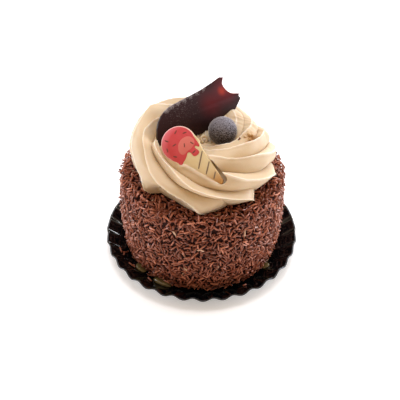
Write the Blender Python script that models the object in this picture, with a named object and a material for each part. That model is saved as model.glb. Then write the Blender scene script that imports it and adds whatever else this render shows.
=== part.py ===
"""Small mocha ice cream cake on a fluted black tray, in metres, +Z up.

A drum of coffee ice cream is coated with chocolate vermicelli. One thick rope of mocha cream is piped
round its top with a nine-point star nozzle, so that every ridge winds from the rim to the middle. A wafer
of dark chocolate, a frosted chocolate ball and an ice-cream-cone plaque of white chocolate are set in it.
The origin is the middle of the tray's underside. The cake's front is -Y.
"""
import math
import random

import bmesh
import bpy
from mathutils import Matrix, Vector, noise

MM = 0.001
GAP = 0.3 * MM  # clearance between pieces that touch
SEED = 7

# Tray: a flat middle and a fluted, rising rim
TRAY_RADIUS = 62.4 * MM
TRAY_FLAT_RADIUS = 49 * MM
TRAY_SHEET = 0.8 * MM
TRAY_RISE = 7.4 * MM
FLUTES = 32
FLUTE_RISE = 1.7 * MM
SCALLOP_DEPTH = 0.8 * MM
FIRST_FLUTE = math.radians(271.4)
RIM_CURVE = 1.3
TRAY_RINGS = 2

# Drum of ice cream under the vermicelli
DRUM_BASE = TRAY_SHEET + GAP
DRUM_TOP = 58 * MM
DRUM_FOOT_RADIUS = 48.8 * MM
DRUM_RADIUS = 51 * MM
DRUM_SHOULDER_RADIUS = 50 * MM
DRUM_EDGE = 4 * MM
DRUM_FOOT_EDGE = 2 * MM
DRUM_COLUMNS = 84
EDGE_STEPS = 3
SIDE_STEPS = 10
DRUM_CRUST = 0.45 * MM
CRUST_SIZE = 3.2 * MM

# Vermicelli
STRAND_LENGTH = 4.4 * MM
STRAND_RADIUS = 0.62 * MM
STRAND_ROWS = 9
STRANDS_PER_ROW = 14
STRAND_TIP = math.radians(9)  # how far one end of a strand may stand out

# Piped cream: its section from the foot, over the crown, to the middle, as (radius, height)
CREAM_BASE = DRUM_TOP + GAP
CREAM_SECTION = [
    (38.5, 0), (42.6, 6), (43.8, 13), (41.5, 20.5), (36, 26),
    (28.5, 28.2), (20, 25.5), (12, 21.5), (5, 19.3), (0, 19),
]
# Each ridge, as uneven as a hand pipes them: the way its foot and its side point in degrees, where the
# crease lies between it and the next ridge, at the foot and above, and how many millimetres its lower half
# stands out
RIDGES = [
    (272, 232, (0.48, 0.62), 0.0), (318, 263, (0.20, 0.20), -0.3), (352, 306, (0.28, 0.28), -1.0),
    (392, 351, (0.28, 0.28), -3.0), (432, 391, (0.35, 0.35), -4.5), (472, 431, (0.50, 0.50), 0.0),
    (512, 471, (0.50, 0.50), 0.0), (548, 512, (0.60, 0.60), -2.8), (578, 552, (0.10, 0.80), -3.6),
]
RIDGE_SIDE = 22  # millimetres along the section, where the ridges point as given for the side
# How a ridge goes from foot to side, as a share of the way back, and how it then winds inwards in degrees
CLIMB = [(0, 1.0), (10, 0.8), (RIDGE_SIDE, 0.0)]
WINDING = [(RIDGE_SIDE, 0), (30, -24), (36, -53), (46, -88), (68, -130)]
CREASE_SETTLES = (2, 16)  # millimetres along the section between which a crease leaves its place at the foot
LOWER_HALF = (10, 38)  # millimetres along the section between which the lower half's reach fades out
# Where the rope is thicker or slacker: the way that the place faces in degrees and its millimetres along the
# section, how far it reaches both ways, and how many millimetres it stands out
SWELLS = [
    (150, 30, 75, 26, 2.8), (198, 14, 34, 18, -2.2), (244, 7, 28, 14, -7.0),
    (36, 17, 24, 20, -4.4), (355, 10, 14, 15, 2.4),
]
# How deep the ridges are: (millimetres along the section, millimetres)
RIDGE_DEPTH = [(0, 2.6), (24, 2.6), (36, 2.2), (48, 2.0), (60, 1.4), (68, 0.8)]
RIDGE_FADE = 12  # millimetres from the middle over which they die out
# The smoother side, where the nozzle was drawn away: the way that it faces, how far it reaches round, both in
# degrees, and how much of the ridges' depth is lost there
SMOOTH_SIDE = (62, 60, 0.75)
FOOT_FADE = 8  # millimetres along the section over which the ridges start to move the surface up or down
NORMAL_STEP = 0.5  # millimetres to each side, over which the section's slope is read
CREAM_ROWS = 26
COLUMNS_PER_RIDGE = 6

# Frosted chocolate ball
BALL_RADIUS = 8.7 * MM
BALL_CENTRE = Vector((11.7, 4.2, 84.0)) * MM

# Plaque: the middle of its scoop, the way from there to the cone's tip, and the way it faces
PLAQUE_CENTRE = Vector((-13.2, -18.5, 91.2)) * MM
PLAQUE_AXIS = Vector((0.710, -0.628, -0.317)).normalized()
PLAQUE_FACE = Vector((-0.246, -0.644, 0.724)).normalized()
PLAQUE_SHEET = 2.2 * MM
PLAQUE_HOLLOW = 8 * MM
HOLLOW_FLARE = 1.25
# Its outline in millimetres, along from the scoop's middle and across: a round scoop, a cone that narrows
# to a round tip, and between them the cone's mouth, over which the scoop has run down on one side
SCOOP_MIDDLE = (-0.5, -0.3)
SCOOP_RADIUS = 10.2
SCOOP_TURN = (75, 285)
MOUTH_RUN = [(6.2, -9.4)]
DRIP_MIDDLE = (8.5, -8.2)
DRIP_RADIUS = 1.5
DRIP_TURN = (230, 375)
CONE_SIDE = (11.8, 6.8)
CONE_TIP = 33.6
CONE_TIP_RADIUS = 2.2
MOUTH_CORNER = [(8.4, 8.1), (7.2, 9.0)]

# Dark chocolate wafer: a strip bent round a level axis, on the line from WAFER_LEFT to WAFER_RIGHT
WAFER_LEFT = Vector((-27.3, -10.1, 85.5)) * MM
WAFER_RIGHT = Vector((14.9, 20.2, 85.0)) * MM
WAFER_BEND = 34 * MM
WAFER_LEAN = math.radians(12)
WAFER_SHEET = 1.5 * MM
WAFER_BURIED = -6.5
WAFER_STRIPS = 8
# The strip laid flat, in millimetres along and up from its left foot: its left end, its top and its
# broken right end, between which a round bite is missing
WAFER_END = [(3.4, WAFER_BURIED), (1.8, -1.5), (1.7, 2.4), (2.9, 7), (5, 10.8), (7.7, 13.5), (11.3, 15.7)]
WAFER_TOP = [(15.3, 17.1), (22.7, 18.1), (37.7, 19.9), (47, 21.8), (53.5, 23.4), (56.2, 22.6)]
WAFER_BREAK = [(63, 10), (62.3, 8.7), (63.4, 7), (58.7, 1.8), (54.4, -2.7), (51.5, WAFER_BURIED)]
BITE_CENTRE = (61.9, 18.9)
BITE_RADIUS = 8.2
BITE_TURN = (178, 262)


def clear_scene():
    for thing in list(bpy.data.objects):
        bpy.data.objects.remove(thing)


def material(name, colour, roughness, metallic=0.0):
    made = bpy.data.materials.new(name)
    made.use_nodes = True
    shader = made.node_tree.nodes["Principled BSDF"]
    shader.inputs["Base Color"].default_value = (*colour, 1)
    shader.inputs["Roughness"].default_value = roughness
    shader.inputs["Metallic"].default_value = metallic
    return made


def to_object(name, mesh_builder, finish=None, smooth=True):
    mesh = bpy.data.meshes.new(name)
    mesh_builder.to_mesh(mesh)
    mesh_builder.free()
    if smooth:
        mesh.shade_smooth()
        mesh.set_sharp_from_angle(angle=math.radians(40))
    made = bpy.data.objects.new(name, mesh)
    bpy.context.collection.objects.link(made)
    if finish:
        mesh.materials.append(finish)
    return made


def as_cutter(thing):
    thing.hide_render = True
    thing.display_type = "WIRE"
    return thing


def cut(thing, cutter):
    step = thing.modifiers.new("cut_" + cutter.name, "BOOLEAN")
    step.operation = "DIFFERENCE"
    step.solver = "EXACT"
    step.object = cutter


def through(knots, x):
    """A smooth value at x through (x, value) knots, by a monotone cubic."""
    last = len(knots) - 2
    i = max(k for k in range(last + 1) if x >= knots[k][0] or k == 0)
    slopes = [(b[1] - a[1]) / (b[0] - a[0]) for a, b in zip(knots, knots[1:])]

    def tangent(k):
        if k == 0 or k == last + 1:
            return slopes[min(k, last)]
        before, after = slopes[k - 1], slopes[k]
        return 0.0 if before * after <= 0 else 2 * before * after / (before + after)

    (x0, y0), (x1, y1) = knots[i], knots[i + 1]
    t = (x - x0) / (x1 - x0)
    rise = (2 * t**3 - 3 * t**2 + 1) * y0 + (3 * t**2 - 2 * t**3) * y1
    lean = (t**3 - 2 * t**2 + t) * tangent(i) + (t**3 - t**2) * tangent(i + 1)
    return rise + lean * (x1 - x0)


def smoothstep(x):
    x = min(1.0, max(0.0, x))
    return x * x * (3 - 2 * x)


def wrapped(columns, rows, place, fill_within=math.inf):
    """A body made from a grid: place(u, v) puts each point, u once round and v from one rim to the other.

    Each open rim whose points lie within fill_within of the upright axis is closed with a flat face.
    """
    made = bmesh.new()
    bmesh.ops.create_grid(made, x_segments=columns, y_segments=rows, size=0.5)
    for vertex in made.verts:
        vertex.co = place(vertex.co.x + 0.5, vertex.co.y + 0.5)
    bmesh.ops.remove_doubles(made, verts=made.verts, dist=0.01 * MM)
    rims = [e for e in made.edges if e.is_boundary and e.verts[0].co.xy.length < fill_within]
    bmesh.ops.holes_fill(made, edges=rims, sides=0)
    bmesh.ops.recalc_face_normals(made, faces=made.faces)
    return made


def polar(radius, angle, height):
    return Vector((radius * math.cos(angle), radius * math.sin(angle), height))


def tray(finish):
    """The rim rises outwards in flutes that end in rounded scallops. One sheet, thickened downwards."""
    def place(u, out):
        turn = FIRST_FLUTE + 2 * math.pi * u
        dip = (1 - math.cos(2 * math.pi * FLUTES * u)) / 2
        edge = TRAY_RADIUS - SCALLOP_DEPTH * dip
        radius = TRAY_FLAT_RADIUS + out * (edge - TRAY_FLAT_RADIUS)
        return polar(radius, turn, TRAY_SHEET + TRAY_RISE * out**RIM_CURVE + FLUTE_RISE * out * dip)

    made = wrapped(FLUTES * 4, TRAY_RINGS, place, TRAY_FLAT_RADIUS + MM)
    if sum(face.normal.z for face in made.faces) < 0:
        bmesh.ops.reverse_faces(made, faces=made.faces)
    thing = to_object("tray", made, finish)
    wall = thing.modifiers.new("sheet", "SOLIDIFY")
    wall.thickness = TRAY_SHEET
    wall.offset = -1
    wall.use_even_offset = True
    return thing


def drum_section():
    """(radius, height) down the side, from the top's edge to the foot, with both edges rounded."""
    section = []
    for k in range(EDGE_STEPS + 1):
        turn = math.pi / 2 * (1 - k / EDGE_STEPS)
        radius = DRUM_SHOULDER_RADIUS - DRUM_EDGE * (1 - math.cos(turn))
        section.append((radius, DRUM_TOP - DRUM_EDGE * (1 - math.sin(turn))))
    top, foot = DRUM_TOP - DRUM_EDGE, DRUM_BASE + DRUM_FOOT_EDGE
    belly = DRUM_RADIUS - (DRUM_SHOULDER_RADIUS + DRUM_FOOT_RADIUS) / 2
    for k in range(1, SIDE_STEPS + 1):
        t = k / SIDE_STEPS
        radius = DRUM_SHOULDER_RADIUS + (DRUM_FOOT_RADIUS - DRUM_SHOULDER_RADIUS) * t
        section.append((radius + belly * math.sin(math.pi * t), top + (foot - top) * t))
    section.append((DRUM_FOOT_RADIUS - DRUM_FOOT_EDGE / 2, DRUM_BASE))
    return section


def drum(finish):
    """The coated drum: a crusty core with the outermost vermicelli fused on."""
    section = drum_section()
    last = len(section) - 1

    def place(u, v):
        row = round(v * last)
        radius, height = section[row]
        spot = polar(radius, 2 * math.pi * u, height)
        rough = noise.noise(spot / CRUST_SIZE) if 0 < row < last else 0.0
        return polar(radius + 2 * DRUM_CRUST * rough, 2 * math.pi * u, height)

    core = to_object("cake", wrapped(DRUM_COLUMNS, last, place), finish, smooth=False)
    strands = bpy.data.collections.new("strands")
    bpy.context.scene.collection.children.link(strands)
    for where in strand_places(section):
        strand(strands, where)
    join = core.modifiers.new("coat", "BOOLEAN")
    join.operation = "UNION"
    join.operand_type = "COLLECTION"
    join.collection = strands
    join.solver = "MANIFOLD"
    view = bpy.context.evaluated_depsgraph_get()
    joined = bpy.data.meshes.new_from_object(core.evaluated_get(view))
    core.modifiers.clear()
    core.data = joined
    for thing in list(strands.objects):
        bpy.data.objects.remove(thing)
    bpy.data.collections.remove(strands)
    return core


def strand_places(section):
    """Matrices for strands spread evenly over the side, each turned at random against it."""
    draw = random.Random(SEED)
    side = section[EDGE_STEPS - 1:-1]
    for row in range(STRAND_ROWS):
        for step in range(STRANDS_PER_ROW):
            down = (row + draw.uniform(0.25, 0.75)) / STRAND_ROWS * (len(side) - 1)
            turn = 2 * math.pi * (step + 0.5 * (row % 2) + draw.uniform(-0.25, 0.25)) / STRANDS_PER_ROW
            k = min(int(down), len(side) - 2)
            above, below = Vector(side[k]), Vector(side[k + 1])
            radius, height = above + (below - above) * (down - k)
            upward = math.atan2(below.x - above.x, above.y - below.y)
            out = Matrix.Rotation(turn, 4, "Z") @ Matrix.Rotation(math.pi / 2 - upward, 4, "Y")
            spin = Matrix.Rotation(draw.uniform(0, math.pi), 4, "Z")
            tip = Matrix.Rotation(draw.uniform(-STRAND_TIP, STRAND_TIP), 4, "Y")
            yield Matrix.Translation(polar(radius, turn, height)) @ out @ spin @ tip


def strand(collection, where):
    """A six-sided rod, lying along X before it is placed."""
    made = bmesh.new()
    lie = Matrix.Rotation(math.pi / 2, 4, "Y")
    bmesh.ops.create_cone(
        made, cap_ends=True, segments=6, radius1=STRAND_RADIUS, radius2=STRAND_RADIUS,
        depth=STRAND_LENGTH, matrix=where @ lie,
    )
    mesh = bpy.data.meshes.new("strand")
    made.to_mesh(mesh)
    made.free()
    collection.objects.link(bpy.data.objects.new("strand", mesh))


def cream_surface():
    """place(u, v) on the ridged cream: u counts ridges round it, v goes from the foot to the middle."""
    lengths = [0.0]
    for a, b in zip(CREAM_SECTION, CREAM_SECTION[1:]):
        lengths.append(lengths[-1] + math.dist(a, b))
    radii = [(s, x) for s, (x, y) in zip(lengths, CREAM_SECTION)]
    heights = [(s, y) for s, (x, y) in zip(lengths, CREAM_SECTION)]

    def on_section(s):
        return Vector((through(radii, s), through(heights, s)))

    def ridge_turn(k, s):
        laps, k = divmod(k, len(RIDGES))
        foot, side = RIDGES[k][:2]
        way = side + (foot - side) * through(CLIMB, s) if s < RIDGE_SIDE else side + through(WINDING, s)
        return way + 360 * laps

    def place(u, v):
        s = v * lengths[-1]
        spot = on_section(s)
        way = on_section(min(s + NORMAL_STEP, lengths[-1])) - on_section(max(s - NORMAL_STEP, 0))
        normal = Vector((way.y, -way.x)).normalized()
        share = u * len(RIDGES)
        k = min(int(share + 1e-6), len(RIDGES) - 1)
        part = share - k
        turn = ridge_turn(k, s) + (ridge_turn(k + 1, s) - ridge_turn(k, s)) * part
        (foot_crease, crease), reach = RIDGES[k][2:]
        next_reach = RIDGES[(k + 1) % len(RIDGES)][3]
        start, end = CREASE_SETTLES
        crease = foot_crease + (crease - foot_crease) * smoothstep((s - start) / (end - start))
        crest = 1 - 2 * part / crease if part < crease else 1 - 2 * (1 - part) / (1 - crease)
        push = crest * through(RIDGE_DEPTH, s) * smoothstep(spot.x / RIDGE_FADE)
        middle, wide, loss = SMOOTH_SIDE
        off = abs((turn - middle + 180) % 360 - 180)
        push *= 1 - loss * smoothstep(1.4 * (1 - off / wide)) * smoothstep((s - 4) / 10)
        lower = smoothstep((LOWER_HALF[1] - s) / (LOWER_HALF[1] - LOWER_HALF[0]))
        push += (reach + (next_reach - reach) * part) * lower
        for middle, level, wide, tall, rise in SWELLS:
            off = abs((turn - middle + 180) % 360 - 180)
            push += rise * smoothstep(1 - off / wide) * smoothstep(1 - abs(s - level) / tall)
        radius = spot.x + push * normal.x
        height = spot.y + push * normal.y * smoothstep(s / FOOT_FADE)
        return polar(radius * MM, math.radians(turn), CREAM_BASE + height * MM)

    return place


def cream(finish, cutters):
    made = wrapped(len(RIDGES) * COLUMNS_PER_RIDGE, CREAM_ROWS, cream_surface())
    bmesh.ops.triangulate(made, faces=made.faces, quad_method="SHORT_EDGE")
    thing = to_object("cream", made, finish)
    for cutter in cutters:
        cut(thing, cutter)
    return thing


def ball(name, radius, finish=None):
    made = bmesh.new()
    bmesh.ops.create_uvsphere(
        made, u_segments=18, v_segments=12, radius=radius, matrix=Matrix.Translation(BALL_CENTRE)
    )
    return to_object(name, made, finish)


def arc(centre, radius, start, end, steps):
    turns = [math.radians(start + (end - start) * k / steps) for k in range(steps + 1)]
    return [(centre[0] + radius * math.cos(a), centre[1] + radius * math.sin(a)) for a in turns]


def outset(points, room):
    """An outline moved outwards by room on every side."""
    pairs = list(zip(points, points[1:] + points[:1]))
    side = 1 if sum(a.x * b.y - b.x * a.y for a, b in pairs) > 0 else -1
    outward = [side * Vector((b.y - a.y, a.x - b.x)).normalized() for a, b in pairs]
    moved = []
    for point, before, after in zip(points, outward[-1:] + outward, outward):
        way = (before + after).normalized()
        moved.append(point + way * room / max(0.6, way.dot(after)))
    return moved


def plaque_outline():
    scoop = arc(SCOOP_MIDDLE, SCOOP_RADIUS, *SCOOP_TURN, 16)
    drip = arc(DRIP_MIDDLE, DRIP_RADIUS, *DRIP_TURN, 5)
    tip = arc((CONE_TIP - CONE_TIP_RADIUS, 0), CONE_TIP_RADIUS, -72, 72, 6)
    along, half = CONE_SIDE
    flat = scoop + MOUTH_RUN + drip + [(along, -half)] + tip + [(along, half)] + MOUTH_CORNER
    return [Vector(p) * MM for p in flat]


def plaque(name, finish=None, room=0.0, rise=0.0, flare=1.0):
    """A flat moulded plaque. A taller one with flaring walls makes the hollow that it is pressed into."""
    made = bmesh.new()
    outline = outset(plaque_outline(), room)
    face = made.faces.new([made.verts.new((p.x, p.y, -PLAQUE_SHEET - room)) for p in outline])
    grown = bmesh.ops.extrude_face_region(made, geom=[face])
    front = [g for g in grown["geom"] if isinstance(g, bmesh.types.BMVert)]
    middle = Matrix.Translation((-CONE_TIP * MM / 3, 0, 0))
    bmesh.ops.scale(made, verts=front, vec=(flare, flare, 1), space=middle)
    bmesh.ops.translate(made, verts=front, vec=(0, 0, PLAQUE_SHEET + room + rise))
    bmesh.ops.recalc_face_normals(made, faces=made.faces)
    across = PLAQUE_FACE.cross(PLAQUE_AXIS)
    frame = Matrix((PLAQUE_AXIS, across, PLAQUE_FACE)).transposed().to_4x4()
    bmesh.ops.transform(made, matrix=Matrix.Translation(PLAQUE_CENTRE) @ frame, verts=made.verts)
    return to_object(name, made, finish, smooth=False)


def wafer_outline():
    bite = arc(BITE_CENTRE, BITE_RADIUS, *BITE_TURN, 8)
    return [Vector(p) * MM for p in WAFER_END + WAFER_TOP + bite + WAFER_BREAK]


def wafer(name, finish=None, room=0.0):
    """The flat strip is cut across into bands, given its thickness, then bent round its axis."""
    made = bmesh.new()
    outline = outset(wafer_outline(), room)
    face = made.faces.new([made.verts.new((p.x, p.y, room)) for p in outline])
    grown = bmesh.ops.extrude_face_region(made, geom=[face])
    back = [g for g in grown["geom"] if isinstance(g, bmesh.types.BMVert)]
    bmesh.ops.translate(made, verts=back, vec=(0, 0, -WAFER_SHEET - 2 * room))
    low, high = WAFER_BURIED * MM, WAFER_TOP[-2][1] * MM
    for k in range(1, WAFER_STRIPS):
        line = Vector((0, low + (high - low) * k / WAFER_STRIPS, 0))
        bmesh.ops.bisect_plane(
            made, geom=made.faces[:] + made.edges[:] + made.verts[:], plane_co=line, plane_no=(0, 1, 0)
        )
    bmesh.ops.triangulate(made, faces=made.faces)
    along = (WAFER_RIGHT - WAFER_LEFT).normalized()
    front = along.cross(Vector((0, 0, 1))).normalized()
    up = front.cross(along)
    axis = WAFER_LEFT - WAFER_BEND * (math.cos(WAFER_LEAN) * front + math.sin(WAFER_LEAN) * up)
    for vertex in made.verts:
        turn = WAFER_LEAN + vertex.co.y / WAFER_BEND
        reach = (WAFER_BEND + vertex.co.z) * (math.cos(turn) * front + math.sin(turn) * up)
        vertex.co = axis + along * vertex.co.x + reach
    bmesh.ops.recalc_face_normals(made, faces=made.faces)
    return to_object(name, made, finish)


def main():
    clear_scene()
    black = material("glossy black plastic", (0.012, 0.012, 0.014), 0.22)
    vermicelli = material("milk chocolate vermicelli", (0.18, 0.065, 0.040), 0.5)
    mocha = material("piped mocha cream", (0.82, 0.62, 0.38), 0.55)
    frosted = material("frosted chocolate", (0.09, 0.075, 0.08), 0.75)
    white = material("white chocolate", (0.85, 0.76, 0.52), 0.4)
    dark = material("dark chocolate", (0.035, 0.014, 0.014), 0.35)
    tray(black)
    drum(vermicelli)
    pockets = [
        ball("ball_pocket", BALL_RADIUS + GAP),
        plaque("plaque_pocket", room=GAP, rise=PLAQUE_HOLLOW, flare=HOLLOW_FLARE),
        wafer("wafer_pocket", room=GAP),
    ]
    cream(mocha, [as_cutter(p) for p in pockets])
    ball("ball", BALL_RADIUS, frosted)
    plaque("plaque", white)
    wafer("wafer", dark)


main()
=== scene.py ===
"""The looks of the mocha ice cream cake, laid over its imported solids.

Lengths are in millimetres and angles in degrees until a piece is finished. The origin is the middle of the
tray's underside, +Z is up and the cake's front is -Y.
"""

import math
import random

import bmesh
import bpy
import numpy as np
from mathutils import Matrix, Vector, noise
from mathutils.bvhtree import BVHTree


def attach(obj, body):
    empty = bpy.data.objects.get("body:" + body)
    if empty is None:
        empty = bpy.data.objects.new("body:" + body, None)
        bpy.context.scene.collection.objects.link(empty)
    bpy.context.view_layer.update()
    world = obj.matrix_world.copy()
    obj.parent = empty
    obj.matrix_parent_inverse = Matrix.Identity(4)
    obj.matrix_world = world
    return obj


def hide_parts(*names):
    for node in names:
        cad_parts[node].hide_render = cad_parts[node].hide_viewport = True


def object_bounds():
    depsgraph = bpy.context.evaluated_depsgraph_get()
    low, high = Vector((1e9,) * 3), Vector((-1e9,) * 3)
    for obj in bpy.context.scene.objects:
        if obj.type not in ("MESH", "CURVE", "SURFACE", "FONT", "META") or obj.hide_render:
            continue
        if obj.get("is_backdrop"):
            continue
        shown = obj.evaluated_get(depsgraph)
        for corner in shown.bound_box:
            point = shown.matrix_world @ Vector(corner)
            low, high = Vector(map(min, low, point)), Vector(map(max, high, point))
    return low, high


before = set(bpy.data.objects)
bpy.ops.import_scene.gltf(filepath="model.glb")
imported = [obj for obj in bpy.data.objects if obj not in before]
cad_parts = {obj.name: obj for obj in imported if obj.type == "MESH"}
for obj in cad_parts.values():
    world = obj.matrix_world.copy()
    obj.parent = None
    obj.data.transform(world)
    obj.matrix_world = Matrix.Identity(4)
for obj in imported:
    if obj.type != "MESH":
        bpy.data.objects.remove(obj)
CAD_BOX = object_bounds()

MM = 0.001
SEED = 11
UP = Vector((0, 0, 1))

# Tray: a flat middle and a fluted, rising rim, as the solid has it
TRAY_RADIUS = 62.2
TRAY_FLAT_RADIUS = 49
TRAY_SHEET = 0.8
TRAY_RISE = 7.4
FLUTES = 32
FLUTE_RISE = 1.7
SCALLOP_DEPTH = 0.8
FIRST_FLUTE = 271.4
RIM_CURVE = 1.3
TRAY_RINGS = 16
COLUMNS_PER_FLUTE = 18

# Drum of ice cream: its section, as the solid has it
DRUM_BASE = 1.1
DRUM_TOP = 58
DRUM_FOOT_RADIUS = 48.8
DRUM_RADIUS = 51
DRUM_SHOULDER_RADIUS = 50
DRUM_EDGE = 4
DRUM_FOOT_EDGE = 2

# Its coat of vermicelli
COAT_DEPTH = 2.0  # how far the bare ice cream lies inside the section above
COAT_ROOM = 0.9  # how far the outermost strands may stand outside it
COAT_INNER_RADIUS = 33  # where the coat ends on top, under the cream
BED_LUMPS = (0.35, 1.6)  # height and size of the lumps of crushed strands under it
BED_COLUMNS = 300
CELL = 0.4  # size of the squares in which the heap's height is kept
# Length, radius and bow of each shape of strand, and how many fall of each against the others
STRAND_SHAPES = {"straight": (4.3, 0.50, 0.0), "bent": (4.8, 0.47, 0.55), "short": (2.9, 0.52, 0.15)}
STRAND_SHARES = (5, 4, 2)
STRAND_GROWTH = (0.82, 1.12)  # a strand's length against that of its shape
STRAND_TRIES = 22000
STEEPEST = 30
# A strand on others: its middle, its top and what the next one rests on, in its radii over them
LIE_MIDDLE = 0.75
LIE_TOP = 1.7
LIE_LEVEL = 1.6
# Patches where the coat is thicker or thinner: their size, and the middle and spread of the share of its room
PATCH = 6
PATCH_ROOM = (0.75, 0.6)
CREAM_NEAR = 50  # height over which strands may touch the cream
# It is heaped higher on the shoulder: by how much on top and how much more by its edge, over which radii the
# edge's part grows, and over which heights both do
SHOULDER_HEAP = (0.4, 1.5)
SHOULDER_EDGE = (41, 46)
SHOULDER_TOP = (54.5, 57.5)
TONE = (0.45, 0.2)  # middle and spread of the strands' lightness, up to TONE_LIMIT
TONE_LIMIT = 0.9
PALE_SHARE = 0.006  # of the strands, which are rubbed nearly white
# Melted ice cream at the foot: how far out it lies and reaches, then for each bead the way that its middle
# faces, half its width and its height
PUDDLE_RADIUS = 48.6
PUDDLE_REACH = 3.0
PUDDLES = [(240.5, 7.5, 2.8), (218.5, 5.5, 2.2), (327, 3.5, 1.6)]
# Strands that fell on the tray: their shape, turn, radius and heading
FALLEN = [
    ("straight", 199.6, 55.6, 100), ("short", 202.5, 54.2, 60), ("bent", 200.5, 52.4, 20),
    ("straight", 213.8, 53.6, 120), ("short", 215.4, 52.4, 80), ("straight", 232.6, 52.8, 75),
    ("short", 20.5, 55.0, 40), ("straight", 75.0, 54.6, 150), ("bent", 132.0, 55.8, 10),
    ("short", 300.5, 53.4, 100),
]

# Piped cream: its section from the foot, over the crown, to the middle, as (radius, height)
CREAM_BASE = 58.3
CREAM_SECTION = [
    (38.5, 0), (42.6, 6), (43.8, 13), (41.5, 20.5), (36, 26),
    (28.5, 28.2), (20, 25.5), (12, 21.5), (5, 19.3), (0, 19),
]
# Each ridge: the way its foot and its side point, where the crease lies between it and the next ridge, at the
# foot and above, and how far its lower half stands out
RIDGES = [
    (272, 232, (0.48, 0.54), 0.0), (318, 263, (0.20, 0.20), -0.3), (352, 306, (0.28, 0.28), -1.0),
    (392, 349.5, (0.28, 0.28), -3.0), (432, 391, (0.35, 0.35), -4.5), (472, 431, (0.50, 0.50), 0.0),
    (512, 471, (0.50, 0.50), 0.0), (548, 512, (0.60, 0.60), -2.8), (578, 552, (0.10, 0.80), -3.6),
]
# Along the section from its foot: where a ridge faces its side, how it turns up to there and winds above, and
# where the creases settle and the lower half begins to count and does so in full
RIDGE_SIDE = 22
CLIMB = [(0, 1.0), (10, 0.8), (RIDGE_SIDE, 0.0)]
WINDING = [(RIDGE_SIDE, 0), (30, -24), (36, -53), (46, -88), (68, -130)]
CREASE_SETTLES = (2, 16)
LOWER_HALF = (38, 10)
# Where the rope is thicker or slacker: the way that the place faces, its place along the section, how far it
# reaches both ways, and how far it stands out
SWELLS = [
    (150, 30, 75, 26, 2.8), (198, 14, 34, 18, -2.2), (244, 7, 28, 14, -7.0),
    (36, 17, 24, 20, -4.4), (355, 10, 14, 15, 2.4), (198, 39.5, 11, 8, -3.4),
    (8, 22, 11, 9, 1.6), (24, 26, 12, 9, -1.4), (350, 50, 30, 10, -2.4),
    (157, 35.5, 23, 7, 4.0), (180, 33, 18, 5, 2.0), (204, 33.5, 26, 5, 2.2),
    (187, 38, 12, 5, -1.9), (221, 38, 17, 7, 2.6), (212, 3, 16, 9, 1.4),
]
# How deep the ridges are along the section, how round their crests become, and between which places
RIDGE_DEPTH = [(0, 2.6), (24, 2.6), (36, 2.2), (48, 2.0), (60, 1.4), (68, 0.8)]
CREST_ROUND = 0.35  # above 0 the ridges are broad and the creases narrow
ROUNDING_STARTS = (5, 17)
# The thin lip that the nozzle leaves along a crest and the fold at the bottom of a crease: their height, and
# the share of the ridge's depth past which they begin, and then the lips' painted highlight and the folds'
# painted shade
CREST_LIP = 0.6
CREASE_FOLD = 0.35
LIP_STARTS = 0.8
FOLD_STARTS = 0.7
LIP_HIGHLIGHT_STARTS = 0.86
FOLD_SHADE_STARTS = 0.8
RIDGE_FADE = 12
# Over what radius from the middle the painted highlight and shade grow to full
PAINTED_LIGHT_FADE = 8
FOOT_FADE = 8
NORMAL_STEP = 0.5
CREAM_ROWS = 170
COLUMNS_PER_RIDGE = 36
PACKING = 0.13  # draws the columns towards crests and creases, where the cream bends most
# Its unevenness, as (height, size): slow swells all over, and ragged crests
WAVES = [(0.3, 11), (0.16, 4)]
RAGGED = (0.35, 1.9)
# Fine folds on top, at the back right: the way they run, where they lie across it and along it, and their
# height, length and width
FOLD_WAY = (0.84, -0.54)
FOLD_BAND = (21, 11)
FOLD_RUN = (2, 10)
FOLD_SIZE = (0.8, 16, 1.7)
TOP_STARTS = (22, 25)  # height over the foot where the top begins
# The smoother side, where the nozzle was drawn away: the way that it faces, how far it reaches round, how
# much of the ridges' depth is lost there, and between which places on the section that begins
SMOOTH_SIDE = (44, 60, 0.85)
SMOOTH_STARTS = (4, 14)
# Pit and torn lumps that the nozzle left where it stopped: ends of the pit, its width and depth
PIT = (Vector((25.4, -9.4, 0)), Vector((31.2, -4.6, 0)))
PIT_WIDTH = 1.9
PIT_DEPTH = 2.8
TORN_LUMPS = (1.1, 1.5)  # their height and size
TORN_OFF = Vector((0.5, 5.5, 0))  # their middle, from the pit's first end
# Browner cream round the pit, painted as its shade: the middle, and how far that and the torn lumps reach
PIT_SHADE_MIDDLE = (28.0, -4.5, 86.0)
TORN_AND_PIT_SHADE_REACH = 7
# Crumbs that lie there, sunk in a little and lumpy: of cream and of chocolate, as (x, y, size)
CREAM_CRUMBS = [(24.6, -4.9, 1.0), (26.6, -3.2, 1.3), (28.8, -2.9, 1.2), (27.4, -5.6, 0.9)]
CHOCOLATE_CRUMBS = [(21.4, -5.6, 0.6), (20.8, -6.2, 0.5)]
CRUMB_LIFT = 0.1
CRUMB_LUMPS = 0.6
# A small loop of cream rope between the ball and the wafer: its middle from above, its radius, the way it
# faces, where it starts and ends, how far it winds forwards, and the rope's radius
CURL_MIDDLE = (0.8, 2.2)
CURL_RADIUS = 1.8
CURL_FACE = Vector((0.1, -0.75, 0.65)).normalized()
CURL_TURN = (-70, 250)
CURL_PITCH = 0.8
CURL_ROPE = 0.95
CURL_STEPS = 24
ROPE_SIDES = 10
FROM_ABOVE = 120  # height from which rays are sent down to the cream
SEAT_ROOM = 0.03  # how much wider than a piece its hollow in the cream is cut

# Frosted chocolate ball
BALL_RADIUS = 8.7
BALL_CENTRE = Vector((11.7, 4.2, 84.0))
BALL_WAVES = (0.12, 3.0)  # height and size of its unevenness
BALL_ROOM = 0.05  # how much smaller than its radius it is drawn, so that these stay inside

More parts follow.
